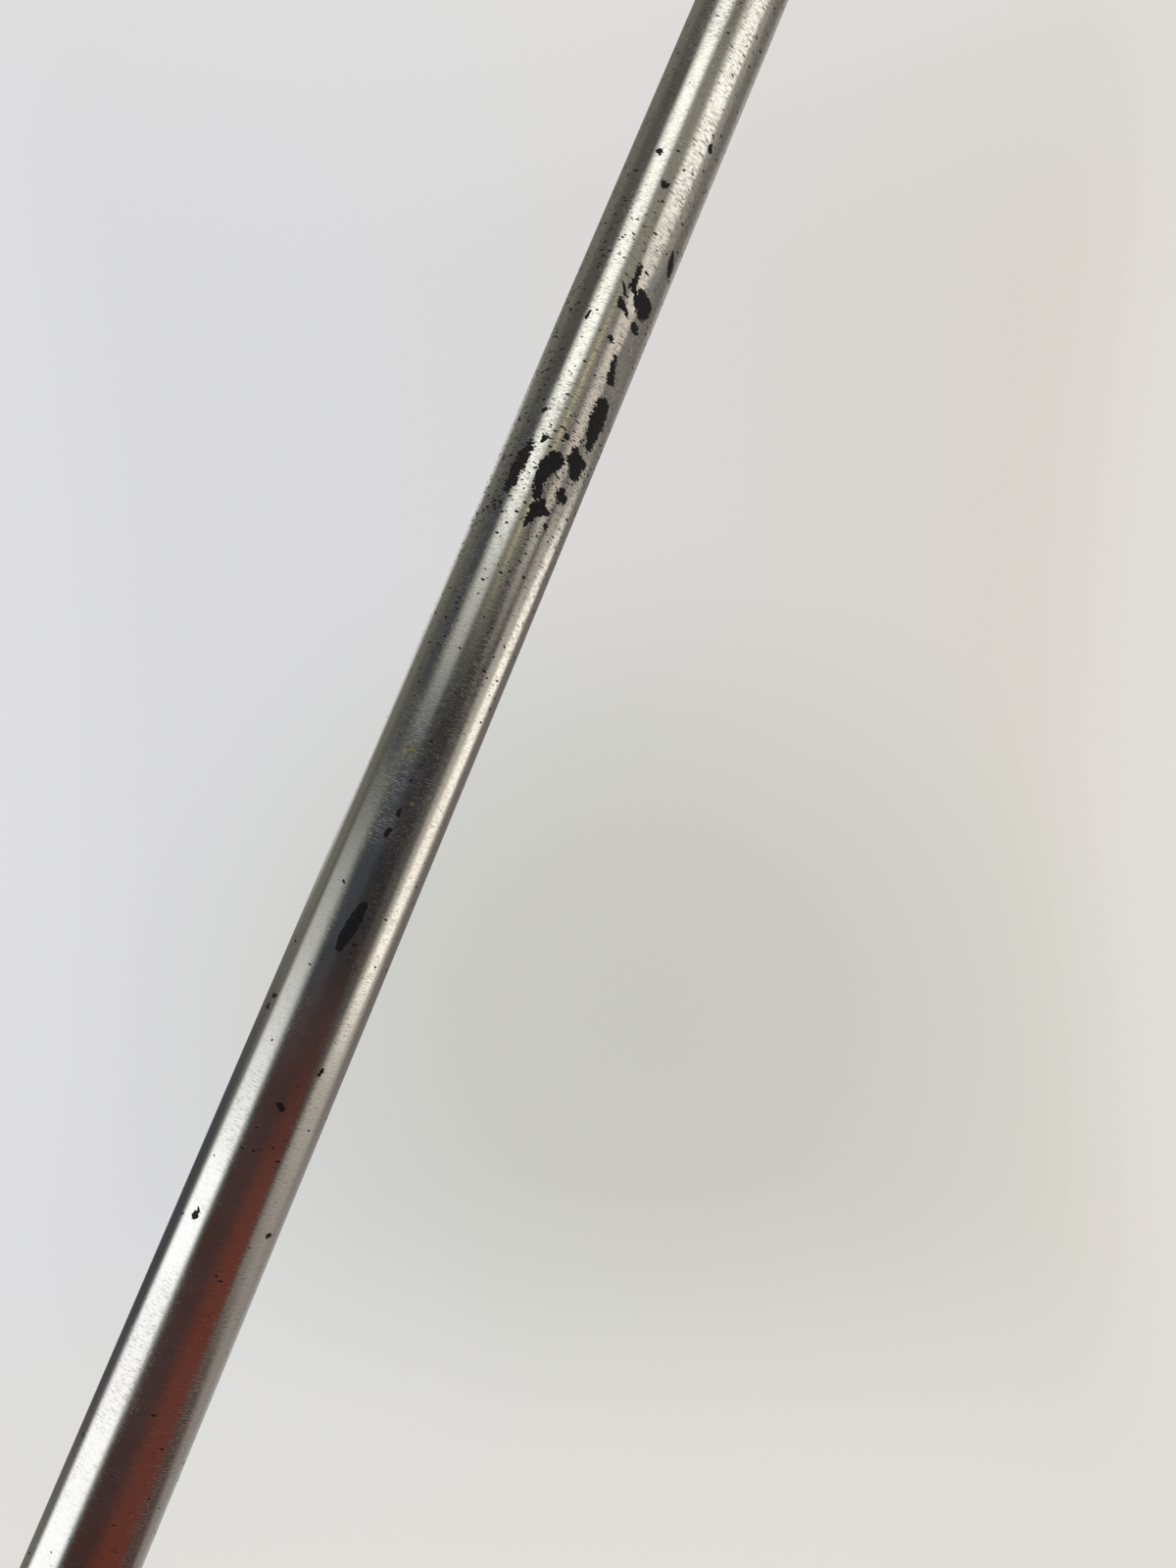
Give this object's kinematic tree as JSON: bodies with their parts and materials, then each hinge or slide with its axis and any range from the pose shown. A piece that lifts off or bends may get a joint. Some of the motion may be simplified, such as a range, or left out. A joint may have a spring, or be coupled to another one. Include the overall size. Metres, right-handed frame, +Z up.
{
  "type": "golf ball retriever",
  "caption": "Telescopic metal pole with a rubber grip at the butt and a tilted ring at the tip that catches a golf ball behind a small sprung gate.",
  "frame": {"origin": "middle of the flat end of the butt cap's tab", "axes": "+Z up the pole from the butt towards the ring; X along the gate's hinge pin; the ring leans back towards +Y and its entry and gate face -Y"},
  "size_m": [0.052, 0.0661, 0.8989],
  "materials": {
    "tube_steel": "ground bright, with fine scratches round the tube",
    "fastener_steel": "plain machined steel",
    "spring_steel": "drawn wire",
    "collar_nylon": "moulded, satin black",
    "glide_nylon": "moulded, smooth",
    "cap_plastic": "moulded, satin black",
    "head_plastic": "moulded, satin orange",
    "gate_plastic": "moulded, satin black",
    "grip_rubber": "moulded rubber with a fine raised pattern",
    "seal_rubber": "smooth rubber",
    "tape": "double-sided cloth tape"
  },
  "bodies": {
    "handle": {"outer_tube": "tube_steel", "outer_collar": "collar_nylon", "grip": "grip_rubber", "grip_tape": "tape", "grip_ferrule": "cap_plastic", "butt_cap": "cap_plastic", "butt_pin": "fastener_steel"},
    "second_section": {"second_tube": "tube_steel", "second_collar": "collar_nylon", "second_glide": "glide_nylon", "second_o_ring": "seal_rubber"},
    "third_section": {"third_tube": "tube_steel", "third_collar": "collar_nylon", "third_glide": "glide_nylon", "third_o_ring": "seal_rubber"},
    "tip_section": {"tip_tube": "tube_steel", "tip_glide": "glide_nylon", "tip_o_ring": "seal_rubber", "tip_plug": "glide_nylon", "head_frame": "head_plastic", "head_screw": "fastener_steel", "head_washer": "fastener_steel", "head_nut": "fastener_steel", "gate_pin": "fastener_steel", "gate_spring": "spring_steel"},
    "gate": {"gate": "gate_plastic"}
  },
  "joints": [
    {"name": "second_slide", "type": "slide", "parent": "handle", "child": "second_section", "axis": [0, 0, 1], "range_m": [0, 0.624]},
    {"name": "third_slide", "type": "slide", "parent": "second_section", "child": "third_section", "axis": [0, 0, 1], "range_m": [0, 0.624]},
    {"name": "tip_slide", "type": "slide", "parent": "third_section", "child": "tip_section", "axis": [0, 0, 1], "range_m": [0, 0.624]},
    {"name": "gate_hinge", "type": "hinge", "parent": "tip_section", "child": "gate", "pos_m": [0, 0.02696, 0.88869], "axis": [1, 0, 0], "range_deg": [0, 90], "stiffness_Nm_per_rad": 0.021, "springref_deg": -28.65, "deforming": ["gate_spring"]}
  ]
}
